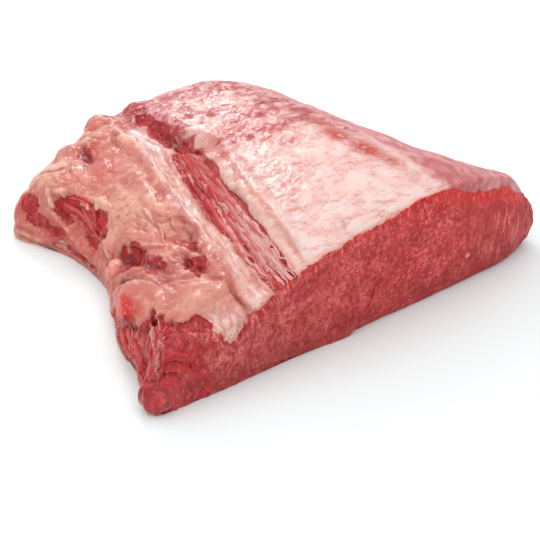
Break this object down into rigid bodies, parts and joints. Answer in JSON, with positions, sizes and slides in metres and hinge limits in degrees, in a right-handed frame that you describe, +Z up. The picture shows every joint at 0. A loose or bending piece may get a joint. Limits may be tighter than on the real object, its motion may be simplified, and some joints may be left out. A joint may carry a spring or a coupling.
{
  "type": "raw beef brisket",
  "caption": "Raw beef brisket: a thick slab of marbled beef under a pale fat cap, cut square across the grain at one side and torn at the left end.",
  "frame": {"origin": "bottom centre of the joint's box, on the surface it lies on", "axes": "+X along the cut face, from the torn end to the smooth end; +Y into the meat along its grain, away from the cut face; +Z up"},
  "size_m": [0.334, 0.308, 0.088],
  "materials": {
    "beef": "damp raw beef, red lean with pale marbling under pink-white fat"
  },
  "bodies": {
    "root": {"brisket": "beef"}
  },
  "joints": []
}
